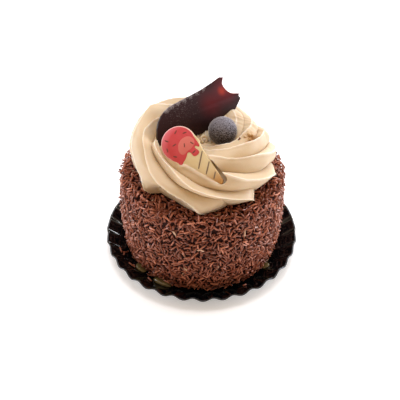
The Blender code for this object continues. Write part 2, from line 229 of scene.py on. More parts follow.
# Plaque: the middle of its scoop, the way from there to the cone's tip, and the way it faces
PLAQUE_CENTRE = Vector((-13.2, -18.5, 91.2))
PLAQUE_AXIS = Vector((0.710, -0.628, -0.317)).normalized()
PLAQUE_FACE = Vector((-0.246, -0.644, 0.724)).normalized()
PLAQUE_ACROSS = PLAQUE_FACE.cross(PLAQUE_AXIS)
PLAQUE_SHEET = 2.2
# Its outline, as (along, across) from there: the scoop's arc, a bit of its mouth, a drip, the cone's straight
# sides and round tip, and the mouth's other corner
SCOOP_MIDDLE = (-0.5, -0.3)
SCOOP_RADIUS = 10.2
SCOOP_TURN = (75, 285)
MOUTH_RUN = [(6.2, -9.4)]
DRIP_MIDDLE = (8.5, -8.2)
DRIP_RADIUS = 1.5
DRIP_TURN = (230, 375)
CONE_SIDE = (11.8, 6.8)
CONE_TIP = 33.6
CONE_TIP_RADIUS = 2.2
MOUTH_CORNER = [(8.4, 8.1), (7.2, 9.0)]
# The cream round it gives way or is pushed up, over this reach, to this height above the plaque's face, and
# ends in a thin bead that lies over the cone's lower side
PRESS_REACH = 15
PRESS_LIMITS = (-3.0, 9.0)
PRESS_NEAR = 42
LIP_HEIGHT = 0.3
LIP_OVER = 1.5
BEAD_HEIGHT = 0.9
BEAD_WIDTH = 1.3
# Where these begin and where they are full: along the plaque, across it and over its face
PRESS_ALONG = (14, 20)
PRESS_UP = (-14, -2)
LIP_ALONG = (2, 10)
LIP_ACROSS = (2, -4)
BEAD_ALONG = (7, 12)
BEAD_ACROSS = (1.5, -1.5)
BEAD_UP = (-6, -2)
# The opening in the cream over its face: its height and how much wider it is at the top
OPENING = (9, 1.1)
# The gap that is left along the cone's other side, widest by its tip: its width, its depth, the painted
# shadow, in brown, on the cream beside it, and where it begins and is full, as above
GROOVE = 2.2
GROOVE_DEPTH = 5
GROOVE_PAINTED_SHADOW = -2.0
GROOVE_ALONG = (15, 29)
GROOVE_TIP = (30, 33)
GROOVE_ACROSS = (-1, 1)

# Its layers, the raised colours one over the other: the height over its face of each one's back and front,
# and how far the front edge is rounded
LAYERS = {
    "plaque_base": (-PLAQUE_SHEET, -0.3, 0.5), "plaque_scoop_edge": (-0.9, -0.16, 0.25),
    "plaque_scoop": (-0.5, -0.07, 0.18), "plaque_field": (-0.4, -0.035, 0.06),
    "plaque_lines": (-0.5, -0.1, 0.1), "plaque_marks": (-0.5, 0, 0.1),
}
# The scoop with its drips, a paler field on it and the lines across the cone, as (along, across) points
SCOOP_DRIPS = [
    (5.9, -9.4), (7.4, -9.7), (8.6, -9.5), (9.6, -8.7), (9.7, -7.4), (9.1, -5.9), (8.8, -4.0), (8.1, -2.1),
    (7.1, -0.7), (7.6, 0.5), (9.0, 0.8), (10.3, 0.4), (11.5, 0.6), (12.2, 1.8), (12.4, 3.3), (11.9, 4.4),
    (10.7, 4.8), (9.2, 4.4), (7.9, 4.5), (7.6, 5.3), (8.5, 5.8), (9.7, 6.2), (9.7, 6.8), (8.7, 7.5),
]
PALE_FIELD = [
    (-0.2, -0.7), (-0.9, 1.9), (-0.5, 4.4), (0.8, 6.6), (3.0, 7.5), (5.5, 7.1), (6.9, 5.7), (6.9, 4.1),
    (7.2, 2.4), (6.5, 0.4), (6.7, -1.6), (6.2, -3.2), (4.4, -3.7), (2.1, -3.0),
]
# The red is thin this far from this spot: where that begins and where it ends
THIN_MIDDLE = Vector((3.5, 1.8, 0))
THIN_REACH = (10, 14.5)
CONE_LINES = [((12.9, 5.6), (18.0, -2.6)), ((20.0, 3.9), (23.4, -2.0)), ((26.5, 2.2), (28.4, -0.9))]
LINE_WIDTH = 0.75
# Short printed strokes, at no set places: the middle and heading of each
STROKES = [
    (-6.6, -3.8, 20), (-6.2, 3.4, 105), (-2.6, -7.2, 150), (-2.0, 6.6, 60), (-1.6, -2.4, 75),
    (3.4, -6.8, 30), (2.9, 1.4, 140), (5.3, 5.2, 10), (9.6, 2.4, 85),
]
STROKE = (1.9, 0.7)
# The end of the cone by its tip, darker with painted shade where it sits down in the cream, and how far that
# reaches
CONE_END = PLAQUE_CENTRE + PLAQUE_AXIS * 34 - PLAQUE_ACROSS * 1.5
TIP_SHADE_REACH = 14

# Dark chocolate wafer: a strip bent round a level axis, on the line from WAFER_LEFT to WAFER_RIGHT
WAFER_LEFT = Vector((-27.3, -10.1, 85.5))
WAFER_RIGHT = Vector((14.9, 20.2, 85.0))
WAFER_BEND = 34  # radius
WAFER_LEAN = 12  # how far it leans back at that line
WAFER_SHEET = 1.5
WAFER_BURIED = -6.5
WAFER_STRIPS = 40
# Its flat outline, as (along, up): its left end, its top edge, the bite and the broken right end
WAFER_END = [(3.4, WAFER_BURIED), (1.8, -1.5), (1.7, 2.4), (2.9, 7), (5, 10.8), (7.7, 13.5), (11.3, 15.7)]
WAFER_TOP = [(15.3, 17.1), (22.7, 18.1), (37.7, 19.9), (47, 21.8), (53.5, 23.4), (56.2, 22.6)]
WAFER_BREAK = [(63, 10), (62.3, 8.7), (63.4, 7), (58.7, 1.8), (54.4, -2.7), (51.5, WAFER_BURIED)]
BITE_CENTRE = (61.9, 18.9)
BITE_RADIUS = 8.2
BITE_TURN = (178, 262)
WAFER_ROUNDING = 0.35
# Where light comes through it, red: the spot, how far the glow reaches and its colour
GLOWS = [
    ((5.2, 17.4, 94.2), 12, "541014"), ((13.0, 26.6, 97.8), 12, "5E1216"),
    ((11.0, 25.0, 98.6), 4.0, "962A16"),
]
EDGE_GLOW = ((15.0, 27.5, 98.5), 13, "A8362A")
# Where it has bloomed grey
BLOOM_MIDDLE = (-15.0, 8.0, 100.0)
BLOOM_REACH = 22
# Where a highlight is painted along its upper edge, as places on the flat strip, and how far each reaches
EDGE_HIGHLIGHT = [(12, 15.8), (16, 17.2), (20.5, 17.8), (25, 18.3), (30, 18.9), (35, 19.5), (40, 20.2)]
EDGE_HIGHLIGHT_REACH = 3.4

# Camera, worked out from the round rims of tray, cake and cream, which look like ellipses in the photo
CAMERA_DISTANCE = 416
CAMERA_ELEVATION = 41.5
CAMERA_ROLL = 0.8
CAMERA_AIM = 36.4  # height of the point that it looks at
FOCAL_LENGTH = 58.9
SENSOR = 36
FRAME_MIDDLE = (202.0, 195.6)  # pixels of the 400 by 400 frame where the aim point lies
FRAME_SIZE = 400
# Soft lights, in metres and watts: the point that all face, and where each stands, its size, power and colour
STUDIO_AIM = Vector((0, 0, 0.05))
SOFTBOXES = {
    "overhead": ((0, 0.25, 0.9), (0.8, 0.6), 6.9, "EAF2FF"),
    "left": ((-0.8, 0.25, 0.2), (0.6, 0.35), 4.6, "DAEAFF"),
    "right": ((0.8, 0.3, 0.2), (0.6, 0.35), 5.6, "DAEAFF"),
    "glint": ((0.62, 0.3, 0.72), (0.22, 0.22), 0.7, "FFFFFF"),
    "strip": ((0.3, 0.85, 0.26), (0.1, 0.5), 2.0, "F4F8FF"),
}


def colour(code):
    """An sRGB hex value as linear red, green, blue and alpha."""
    shares = [int(code[k:k + 2], 16) / 255 for k in (0, 2, 4)]
    return (*[s / 12.92 if s <= 0.04045 else ((s + 0.055) / 1.055) ** 2.4 for s in shares], 1.0)


def smoothstep(x):
    x = min(1.0, max(0.0, x))
    return x * x * (3 - 2 * x)


def ease(x, start, end):
    """0 up to start, 1 from end on, and smooth between."""
    return smoothstep((x - start) / (end - start))


def polar(radius, turn, height):
    return Vector((radius * math.cos(math.radians(turn)), radius * math.sin(math.radians(turn)), height))


def turned_from(middle, turn):
    """How far one way points from another, from -180 to 180."""
    return (turn - middle + 180) % 360 - 180


def axes(x, y, z):
    return Matrix((x, y, z)).transposed().to_4x4()


def new_mesh(name, made):
    mesh = bpy.data.meshes.new(name)
    made.to_mesh(mesh)
    made.free()
    return mesh


def new_object(name, data):
    thing = bpy.data.objects.new(name, data)
    bpy.context.collection.objects.link(thing)
    return thing


def pour(mesh, heap):
    """Adds a mesh to a bmesh and removes it."""
    heap.from_mesh(mesh)
    bpy.data.meshes.remove(mesh)


def round_off(made, edges, offset, segments):
    bmesh.ops.bevel(
        made, geom=edges, offset=offset, segments=segments, profile=0.5, affect="EDGES", material=-1
    )


def cut_across(made, spot, way):
    parts = made.faces[:] + made.edges[:] + made.verts[:]
    bmesh.ops.bisect_plane(made, geom=parts, plane_co=spot, plane_no=way)


def close_ends(made):
    bmesh.ops.holes_fill(made, edges=[e for e in made.edges if e.is_boundary], sides=0)
    bmesh.ops.recalc_face_normals(made, faces=made.faces)


def through(knots, x):
    """A smooth value at x through (x, value) knots, by a monotone cubic."""
    last = len(knots) - 2
    i = max(k for k in range(last + 1) if x >= knots[k][0] or k == 0)
    slopes = [(b[1] - a[1]) / (b[0] - a[0]) for a, b in zip(knots, knots[1:])]

    def tangent(k):
        if k == 0 or k == last + 1:
            return slopes[min(k, last)]
        before, after = slopes[k - 1], slopes[k]
        return 0.0 if before * after <= 0 else 2 * before * after / (before + after)

    (x0, y0), (x1, y1) = knots[i], knots[i + 1]
    t = (x - x0) / (x1 - x0)
    rise = (2 * t**3 - 3 * t**2 + 1) * y0 + (3 * t**2 - 2 * t**3) * y1
    lean = (t**3 - 2 * t**2 + t) * tangent(i) + (t**3 - t**2) * tangent(i + 1)
    return rise + lean * (x1 - x0)


def piece(name, made, finish, stands_for=(), sharp=40):
    """A bmesh in millimetres becomes a smooth piece in metres that rides on the cake's one body."""
    bmesh.ops.scale(made, vec=(MM, MM, MM), verts=made.verts)
    mesh = new_mesh(name, made)
    mesh.shade_smooth()
    mesh.set_sharp_from_angle(angle=math.radians(sharp))
    mesh.materials.append(finish)
    thing = new_object(name, mesh)
    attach(thing, "root")
    if stands_for:
        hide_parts(*stands_for)
    return thing


def fill(node, sockets):
    """Each of these sockets of a shader node gets its number or colour, or another node's output."""
    for name, value in sockets.items():
        if isinstance(value, bpy.types.NodeSocket):
            node.id_data.links.new(value, node.inputs[name])
        else:
            node.inputs[name].default_value = value


def add(tree, kind, sockets, out=0, **settings):
    """Adds a shader node of a kind with its settings and links, and gives one of its outputs."""
    node = tree.nodes.new("ShaderNode" + kind)
    for name, value in settings.items():
        setattr(node, name, value)
    fill(node, sockets)
    return node.outputs[out]


def new_material(name):
    """Gives a material, its node tree, and the place on the cake in metres, which its patterns read."""
    made = bpy.data.materials.new(name)
    made.use_nodes = True
    return made, made.node_tree, add(made.node_tree, "TexCoord", {}, "Object")


def finished(made, sockets):
    """The material, once its Principled shader has these values and patterns."""
    fill(made.node_tree.nodes["Principled BSDF"], sockets)
    return made


def clouded(tree, place, size, detail, first, second):
    """Two colours that pass into each other in soft clouds, of a size in millimetres."""
    cloud = add(tree, "TexNoise", {"Vector": place, "Scale": 1 / (size * MM), "Detail": detail})
    return add(tree, "Mix", {0: cloud, 6: colour(first), 7: colour(second)}, 2, data_type="RGBA")


def nearness(tree, place, middle, reach):
    """1 at a spot of the cake, falling smoothly to 0 at reach."""
    off = add(tree, "VectorMath", {0: place, 1: Vector(middle) * MM}, "Value", operation="DISTANCE")
    fall = {"Value": off, "From Max": reach * MM, "To Min": 1.0, "To Max": 0.0}
    return add(tree, "MapRange", fall, interpolation_type="SMOOTHSTEP")


def painted_light_near(tree, place, base, middle, reach, code):
    """A colour that gives way to another near a spot of the cake, used for painted shade and painted glow."""
    share = nearness(tree, place, middle, reach)
    return add(tree, "Mix", {0: share, 6: base, 7: colour(code)}, 2, data_type="RGBA")


def polystyrene():
    """Thermoformed black polystyrene: a deep gloss, with faint dust that dulls it in places."""
    made, tree, place = new_material("black polystyrene")
    haze = add(tree, "TexNoise", {"Vector": place, "Scale": 1 / (14 * MM), "Detail": 4.0})
    gloss = add(tree, "MapRange", {"Value": haze, "To Min": 0.05, "To Max": 0.14})
    return finished(made, {"Base Color": colour("08090C"), "IOR": 1.55, "Roughness": gloss})


def vermicelli():
    """Extruded milk chocolate strands: satin, each a little lighter or darker, and rubbed paler in places."""
    made, tree, place = new_material("milk chocolate vermicelli")
    base = add(tree, "ValToRGB", {"Fac": add(tree, "Attribute", {}, "Fac", attribute_name="tone")})
    ramp = base.node.color_ramp.elements
    ramp[0].color = colour("521F12")
    ramp[1].color = colour("E2C0A4")
    for reach, code in ((0.45, "86402A"), (0.9, "D08468"), (0.95, "E6C8B2")):
        ramp.new(reach).color = colour(code)
    rub = add(tree, "TexNoise", {"Vector": place, "Scale": 1 / (0.7 * MM), "Detail": 3.0})
    share = add(tree, "MapRange", {"Value": rub, "From Min": 0.52, "From Max": 0.8, "To Max": 0.4})
    return finished(made, {
        "Base Color": add(tree, "Mix", {0: share, 6: base, 7: colour("C08A74")}, 2, data_type="RGBA"),
        "Roughness": 0.3, "IOR": 1.6, "Specular IOR Level": 1.0, "Specular Tint": colour("FFD0BC"),
        "Sheen Weight": 0.3, "Sheen Roughness": 0.3, "Sheen Tint": colour("FFC4AC"),
        "Normal": add(tree, "Bump", {"Height": rub, "Distance": 0.06 * MM, "Strength": 0.6}),
    })


def chocolate_bed_with_painted_shade():
    """The bed of crushed strands that shows between the loose ones, coloured darker than they are as painted
    shade.
    """
    made, tree, place = new_material("crushed chocolate with painted shade")
    grit = add(tree, "TexVoronoi", {"Vector": place, "Scale": 1 / (1.2 * MM)})
    # darker than the strands: painted shade between them
    shades = {0: grit, 6: colour("44180F"), 7: colour("1E0A06")}
    return finished(made, {
        "Base Color": add(tree, "Mix", shades, 2, data_type="RGBA"),
        "Roughness": 0.7, "Specular IOR Level": 0.25,
        "Normal": add(tree, "Bump", {"Height": grit, "Distance": 0.5 * MM}, invert=True),
    })


def mocha_cream():
    """Whipped mocha cream: an even pale tan that lets some light in, with tiny air bubbles and drag marks.

    Its attribute of painted light and shade is 1 on thin lips, which get a painted highlight, and below 0 in
    folds and in the groove by the cone, which get painted shade.
    """
    made, tree, place = new_material("whipped mocha cream")
    mixed = clouded(tree, place, 11, 3.0, "D3BA96", "DAC4A4")
    painted_light_and_shade = add(tree, "Attribute", {}, "Fac", attribute_name="painted_light_and_shade")
    # Paler on the lips as a painted highlight, browner in the folds and the groove as painted shade
    for full, most, code in ((1.0, 0.55, "FBF4E8"), (-2.0, 1.0, "A87C4A")):
        share = add(tree, "MapRange", {"Value": painted_light_and_shade, "From Max": full, "To Max": most})
        mixed = add(tree, "Mix", {0: share, 6: mixed, 7: colour(code)}, 2, data_type="RGBA")
    bubbles = add(tree, "TexNoise", {"Vector": place, "Scale": 1 / (0.55 * MM), "Detail": 4.0})
    return finished(made, {
        # browner round the pit: painted shade
        "Base Color": painted_light_near(tree, place, mixed, PIT_SHADE_MIDDLE, TORN_AND_PIT_SHADE_REACH, "B98E58"),
        "Roughness": 0.5, "IOR": 1.4, "Specular IOR Level": 0.45,
        "Subsurface Weight": 0.3, "Subsurface Radius": (1.0, 0.62, 0.32), "Subsurface Scale": 1.5 * MM,
        "Sheen Weight": 0.2, "Sheen Roughness": 0.4, "Sheen Tint": colour("FFFAF4"),
        "Normal": add(tree, "Bump", {"Height": bubbles, "Distance": 0.07 * MM, "Strength": 0.7}),
    })


def ice_cream():
    """Bare coffee ice cream at the foot, where the coat is thin: wet and slightly olive."""
    made, tree, place = new_material("coffee ice cream")
    return finished(made, {
        "Base Color": clouded(tree, place, 2.5, 3.0, "4A3A22", "9A8A5A"),
        "Roughness": 0.18, "Coat Weight": 0.5,
        "Subsurface Weight": 0.3, "Subsurface Radius": (1.0, 0.7, 0.4), "Subsurface Scale": 1.5 * MM,
    })


def frosted_chocolate():
    """A chocolate ball sprayed with cocoa butter while frozen, which leaves a grey velvet of fine grains.

    The grains thin out towards the ball's foot, so that it is darker towards the bottom.
    """
    made, tree, place = new_material("frosted chocolate")
    fine = {"Vector": place, "Scale": 1 / (0.6 * MM), "Detail": 5.0, "Roughness": 0.7}
    grains = add(tree, "TexNoise", fine)
    # lighter at the top and darker towards the foot
    low, top = (BALL_CENTRE.z - 7) * MM, (BALL_CENTRE.z + 8) * MM
    high = add(tree, "SeparateXYZ", {"Vector": place}, "Z")
    darker_below = {"Value": high, "From Min": low, "From Max": top, "To Min": -0.2, "To Max": 0.08}
    heaped = add(tree, "Math", {0: grains, 1: add(tree, "MapRange", darker_below)}, operation="ADD")
    share = add(tree, "MapRange", {"Value": heaped, "From Min": 0.41, "From Max": 0.62})
    shades = {0: share, 6: colour("221815"), 7: colour("86828A")}
    return finished(made, {
        "Base Color": add(tree, "Mix", shades, 2, data_type="RGBA"),
        "Roughness": 0.85, "Specular IOR Level": 0.2,
        "Sheen Weight": 1.0, "Sheen Roughness": 0.35, "Sheen Tint": colour("F0EAEC"),
        "Normal": add(tree, "Bump", {"Height": grains, "Distance": 0.2 * MM}),
    })


def dark_chocolate():
    """Tempered dark chocolate: a soft gloss, a grey bloomed dusting, a painted highlight along its top edge,
    and red where light comes through.
    """
    made, tree, place = new_material("tempered dark chocolate")
    mixed = clouded(tree, place, 9, 3.0, "281213", "341C1E")
    mixed = add(tree, "Mix", {0: bloom_and_edge_highlight(tree, place), 6: mixed, 7: colour("8E8484")}, 2, data_type="RGBA")
    for glow in GLOWS:
        mixed = painted_light_near(tree, place, mixed, *glow)
    return finished(made, {"Base Color": mixed, "Roughness": 0.58, "IOR": 1.46, "Specular IOR Level": 0.18})


def bloom_and_edge_highlight(tree, place):
    """How grey the wafer is: fine bloomed specks on its left half, which close up along its upper edge into a
    painted highlight.
    """
    specks = {"Vector": place, "Scale": 1 / (0.7 * MM), "Detail": 3.0, "Roughness": 0.7}
    level = add(tree, "TexNoise", specks)
    spots = [(BLOOM_MIDDLE, BLOOM_REACH, 0.13)]
    # along the upper edge, a painted highlight
    spots += [(on_wafer(Vector((*spot, 0))), EDGE_HIGHLIGHT_REACH, 0.32) for spot in EDGE_HIGHLIGHT]
    for middle, reach, gain in spots:
        near = nearness(tree, place, middle, reach)
        level = add(tree, "Math", {0: near, 1: gain, 2: level}, operation="MULTIPLY_ADD")
    return add(tree, "MapRange", {"Value": level, "From Min": 0.66, "From Max": 0.92, "To Max": 0.8})


def bloomed_and_highlighted_edge():
    """The wafer's thin cut edge, bloomed grey and given a painted highlight along the top, and lit red from
    behind where the bite is.
    """
    made, tree, place = new_material("bloomed chocolate edge with painted highlight")
    shades = {0: bloom_and_edge_highlight(tree, place), 6: colour("2C1A1A"), 7: colour("B0A6A4")}
    mixed = add(tree, "Mix", shades, 2, data_type="RGBA")
    return finished(made, {"Base Color": painted_light_near(tree, place, mixed, *EDGE_GLOW), "Roughness": 0.6})


def white_chocolate():
    """Moulded white chocolate: ivory, a soft sheen, slightly see-through at its edges, with painted shade at
    the tip.
    """
    made, tree, place = new_material("white chocolate")
    mixed = clouded(tree, place, 6, 2.0, "D3BA86", "E2CDA2")
    return finished(made, {
        # darker towards the tip: painted shade
        "Base Color": painted_light_near(tree, place, mixed, CONE_END, TIP_SHADE_REACH, "B8803C"), "Roughness": 0.38,
        "Subsurface Weight": 0.25, "Subsurface Radius": (1.0, 0.75, 0.45), "Subsurface Scale": 1.2 * MM,
    })


def tinted_chocolate(name, first, second, size, thin=None):
    """Coloured cocoa butter printed on the plaque: matt, a little uneven, and thin in one part."""
    made, tree, place = new_material(name)
    mixed = clouded(tree, place, size, 2.0, first, second)
    if thin:
        middle = plaque_frame() @ THIN_MIDDLE * MM
        off = add(tree, "VectorMath", {0: place, 1: middle}, "Value", operation="DISTANCE")
        start, end = [reach * MM for reach in THIN_REACH]
        share = add(tree, "MapRange", {"Value": off, "From Min": start, "From Max": end, "To Max": 0.7})
        mixed = add(tree, "Mix", {0: share, 6: mixed, 7: colour(thin)}, 2, data_type="RGBA")
    return finished(made, {"Base Color": mixed, "Roughness": 0.42, "Specular IOR Level": 0.4})


def sheet_of_points(columns, rows, place):
    """An open grid once round the upright axis: place(u, v) puts each point, and may give it a value of
    painted light and shade.
    """
    made = bmesh.new()
    layer = made.verts.layers.float.new("painted_light_and_shade")
    bmesh.ops.create_grid(made, x_segments=columns, y_segments=rows, size=0.5)
    for vertex in made.verts:
        *spot, painted_light_and_shade = (*place(vertex.co.x + 0.5, vertex.co.y + 0.5), 0.0)[:4]
        vertex.co = spot
        vertex[layer] = painted_light_and_shade
    bmesh.ops.remove_doubles(made, verts=made.verts, dist=0.01)
    return made


def flute(turn):
    """0 in the middle of a flute's hollow and 1 on the ridge between two."""
    return (1 - math.cos(FLUTES * math.radians(turn - FIRST_FLUTE))) / 2


def rim_height(out, turn):
    return TRAY_SHEET + TRAY_RISE * out**RIM_CURVE + FLUTE_RISE * out * flute(turn)


def tray(finish):
    """The rim rises outwards in flutes that end in rounded scallops. One sheet, thickened downwards."""
    def place(u, out):
        turn = FIRST_FLUTE + 360 * u
        edge = TRAY_RADIUS - SCALLOP_DEPTH * flute(turn)
        return polar(TRAY_FLAT_RADIUS + out * (edge - TRAY_FLAT_RADIUS), turn, rim_height(out, turn))

    made = sheet_of_points(FLUTES * COLUMNS_PER_FLUTE, TRAY_RINGS, place)
    inner = [e for e in made.edges if e.is_boundary and e.verts[0].co.xy.length < TRAY_FLAT_RADIUS + 0.5]
    bmesh.ops.holes_fill(made, edges=inner, sides=0)
    bmesh.ops.recalc_face_normals(made, faces=made.faces)
    if sum(face.normal.z for face in made.faces) < 0:
        bmesh.ops.reverse_faces(made, faces=made.faces)
    thing = piece("fluted_tray", made, finish, ["tray"], sharp=60)
    wall = thing.modifiers.new("sheet", "SOLIDIFY")
    wall.thickness = TRAY_SHEET * MM
    wall.offset = -1
    wall.use_even_offset = True
    return thing


def coat_section():
    """The drum's section from its foot, up the side and over the shoulder, in steps of CELL.

    Gives numpy arrays: radius, height, and the outward normal's two parts.
    """
    top, foot = DRUM_TOP - DRUM_EDGE, DRUM_BASE + DRUM_FOOT_EDGE
    belly = DRUM_RADIUS - (DRUM_SHOULDER_RADIUS + DRUM_FOOT_RADIUS) / 2
    knots = [(DRUM_FOOT_RADIUS - DRUM_FOOT_EDGE / 2, DRUM_BASE)]
    for share in np.linspace(0, 1, 30):
        radius = DRUM_FOOT_RADIUS + (DRUM_SHOULDER_RADIUS - DRUM_FOOT_RADIUS) * share
        knots.append((radius + belly * math.sin(math.pi * share), foot + (top - foot) * share))
    for turn in np.linspace(0, 90, 10)[1:]:
        bend = polar(DRUM_EDGE, turn, 0)
        knots.append((DRUM_SHOULDER_RADIUS - DRUM_EDGE + bend.x, top + bend.y))
    knots.append((COAT_INNER_RADIUS, DRUM_TOP))
    line = np.array(knots)
    along = np.concatenate([[0], np.cumsum(np.hypot(*np.diff(line, axis=0).T))])
    steps = np.arange(0, along[-1], CELL)
    radii, heights = np.interp(steps, along, line[:, 0]), np.interp(steps, along, line[:, 1])
    run, rise = np.gradient(radii), np.gradient(heights)
    size = np.hypot(run, rise)
    return radii, heights, rise / size, -run / size


def drum_core(section, finish):
    """The bed under the loose strands, rough with crushed ones, and the flat top that the cream sits on."""
    radii, heights, out, up = section
    last = len(radii) - 1
    high, size = BED_LUMPS

    def place(u, v):
        k = round(v * last)
        depth = COAT_DEPTH * smoothstep((radii[k] - COAT_INNER_RADIUS) / 2)
        spot = polar(radii[k] - depth * out[k], 360 * u, heights[k] - depth * up[k])
        if 0 < k < last:
            rough = high * noise.noise(spot / size)
            spot += polar(rough * out[k], 360 * u, rough * up[k])
        spot.z = max(spot.z, DRUM_BASE)
        return spot

    made = sheet_of_points(BED_COLUMNS, last // 2, place)
    close_ends(made)
    return piece("ice_cream_drum", made, finish, ["cake"], sharp=180)


def strand_shape(length, radius, bow):
    """A rod of extruded chocolate along X with rounded ends, bowed sideways."""
    made = bmesh.new()
    lie = Matrix.Rotation(math.pi / 2, 4, "Y")
    bmesh.ops.create_cone(
        made, cap_ends=True, segments=6, radius1=radius, radius2=radius, depth=length, matrix=lie
    )
    round_off(made, [e for e in made.edges if abs(e.verts[0].co.x - e.verts[1].co.x) < 0.1], 0.4 * radius, 1)
    if bow > 0.3:
        for cut in (-length / 6, length / 6):
            cut_across(made, (cut, 0, 0), (1, 0, 0))
    for vertex in made.verts:
        vertex.co.y += bow * (0.5 - (2 * vertex.co.x / length) ** 2)
    return new_mesh("strand", made)


def lay_strands(section, cream_tree, draw):
    """Strands fall one by one on the coat and come to rest on those below: gives (shape, matrix, tone).

    The heap's height is kept in a grid of cells. A strand is tried at some slopes and takes the lowest.
    """
    radii, heights, out, up = section
    columns = round(2 * math.pi * DRUM_RADIUS / CELL)
    level = np.zeros((columns, len(radii)))
    slopes = np.tan(np.radians(np.linspace(-STEEPEST, STEEPEST, 7)))
    for _ in range(STRAND_TRIES):
        shape = draw.choices(list(STRAND_SHAPES), weights=STRAND_SHARES)[0]
        length, thick = STRAND_SHAPES[shape][:2]
        grow = draw.uniform(*STRAND_GROWTH)
        row = draw.uniform(0, len(radii) - 1)
        k = int(row)
        if draw.random() > radii[k] / DRUM_RADIUS:
            continue
        column, spin = draw.uniform(0, columns), draw.uniform(0, math.pi)
        along = np.linspace(-0.5, 0.5, 11) * length * grow
        wide = np.array([-0.75, 0, 0.75]) * thick
        stretch = DRUM_RADIUS / radii[k]
        across = column + np.add.outer(along * math.cos(spin), -wide * math.sin(spin)) * stretch / CELL
        climb = row + np.add.outer(along * math.sin(spin), wide * math.cos(spin)) / CELL
        if climb.min() < 1 or climb.max() > len(radii) - 2:
            continue
        cells = across.astype(int) % columns, climb.astype(int)
        under = level[cells].max(axis=1)
        rests = [(under - slope * along).max() for slope in slopes]
        best = int(np.argmin(rests))
        turn = 360 * column / columns
        if rests[best] + LIE_TOP * thick > coat_room(radii[k], turn, heights[k]):
            continue
        lift = rests[best] + LIE_MIDDLE * thick - COAT_DEPTH
        normal = polar(out[k], turn, up[k])
        side = polar(1, turn + 90, 0)
        rise = normal.cross(side)
        way = (side * math.cos(spin) + rise * math.sin(spin) + normal * slopes[best]).normalized()
        flank = normal.cross(way).normalized()
        centre = polar(radii[k] + lift * out[k], turn, heights[k] + lift * up[k])
        ends = [centre + way * share * length * grow for share in (-0.5, 0, 0.5)]
        if heights[k] > CREAM_NEAR and any(too_near(cream_tree, end, thick) for end in ends):
            continue
        if any(end.z < tray_height(end) + thick for end in ends):
            continue
        if any(in_puddle(puddle, centre) for puddle in PUDDLES):
            continue
        lain = rests[best] + slopes[best] * along + LIE_LEVEL * thick
        level[cells] = np.maximum(level[cells], lain[:, None])
        roll = Matrix.Rotation(draw.uniform(0, 2 * math.pi), 4, "X")
        size = Matrix.Diagonal((grow, 1, 1, 1))
        tone = 1.0 if draw.random() < PALE_SHARE else min(TONE_LIMIT, max(0.0, draw.gauss(*TONE)))
        yield shape, Matrix.Translation(centre) @ axes(way, flank, way.cross(flank)) @ roll @ size, tone


def coat_room(radius, turn, height):
    """How thick the coat may be at a place, over the bed."""
    middle, spread = PATCH_ROOM
    patch = noise.noise(polar(radius / PATCH, turn, height / PATCH))
    on_top, by_edge = SHOULDER_HEAP
    shoulder = (on_top + by_edge * ease(radius, *SHOULDER_EDGE)) * ease(height, *SHOULDER_TOP)
    return COAT_DEPTH + COAT_ROOM * (middle + spread * patch) + shoulder


def fallen_strands():
    """The strands on the tray lie flat on it: the same as lay_strands gives."""
    for shape, turn, radius, heading in FALLEN:
        spot = polar(radius, turn, 0)
        steps = [spot + polar(0.4, turn + side, 0) for side in (180, 0, -90, 90)]
        inner, outer, left, right = [p + UP * tray_height(p) for p in steps]
        normal = (outer - inner).cross(right - left).normalized()
        way = Matrix.Rotation(math.radians(heading), 3, normal) @ (outer - inner).normalized()
        spot.z = tray_height(spot)
        spot += normal * (STRAND_SHAPES[shape][1] + 0.25)
        yield shape, Matrix.Translation(spot) @ axes(way, normal.cross(way), normal), 0.5


def too_near(tree, spot, room):
    """Whether a spot lies inside a closed shape or nearer to it than room."""
    near, normal, _, gap = tree.find_nearest(spot)
    return gap < room or (spot - near).dot(normal) < 0


def tray_height(spot):
    """Height of the tray's upper face under a spot."""
    out = (spot.xy.length - TRAY_FLAT_RADIUS) / (TRAY_RADIUS - TRAY_FLAT_RADIUS)
    return rim_height(max(0.0, out), math.degrees(math.atan2(spot.y, spot.x)))


def in_puddle(puddle, spot):
    middle, half_turn, height = puddle
    off = turned_from(middle, math.degrees(math.atan2(spot.y, spot.x)))
    return (off / half_turn) ** 2 + ((spot.z - 1.5) / (height + 0.5)) ** 2 < 1


def melted(finish):
    """Ice cream that has run out under the coat and set on the tray, as smooth low beads along the foot."""
    made = bmesh.new()
    for turn, half_turn, height in PUDDLES:
        bead = bmesh.new()
        bmesh.ops.create_uvsphere(bead, u_segments=40, v_segments=24, radius=1)
        for vertex in bead.verts:
            x, y, z = vertex.co
            swell = 1 + 0.16 * noise.noise(Vector((3 * x, y, z)) + Vector((turn, 0, 0)))
            radius = PUDDLE_RADIUS + PUDDLE_REACH * y * swell + 0.5 * noise.noise(Vector((2.5 * x, turn, 0)))
            base = polar(radius, turn + half_turn * x, 0)
            vertex.co = base + UP * (tray_height(base) + 0.1 + height * max(0.0, z) * swell)
        bmesh.ops.remove_doubles(bead, verts=bead.verts, dist=0.01)
        pour(new_mesh("bead", bead), made)
    bmesh.ops.recalc_face_normals(made, faces=made.faces)
    return piece("melted_ice_cream", made, finish, ["cake"], sharp=180)


def coat(section, cream_tree, finish):
    """All loose strands on the cake's side and shoulder and on the tray, one piece for each shape."""
    draw = random.Random(SEED)
    shapes = {name: strand_shape(*sizes) for name, sizes in STRAND_SHAPES.items()}
    heaps = {name: bmesh.new() for name in shapes}
    tones = {name: [] for name in shapes}
    for name, where, tone in [*lay_strands(section, cream_tree, draw), *fallen_strands()]:
        laid = shapes[name].copy()
        laid.transform(where)
        pour(laid, heaps[name])
        tones[name] += [tone] * len(shapes[name].vertices)
    for name, heap in heaps.items():
        thing = piece("vermicelli_" + name, heap, finish, ["cake"], sharp=50)
        layer = thing.data.attributes.new("tone", "FLOAT", "POINT")
        layer.data.foreach_set("value", tones[name])


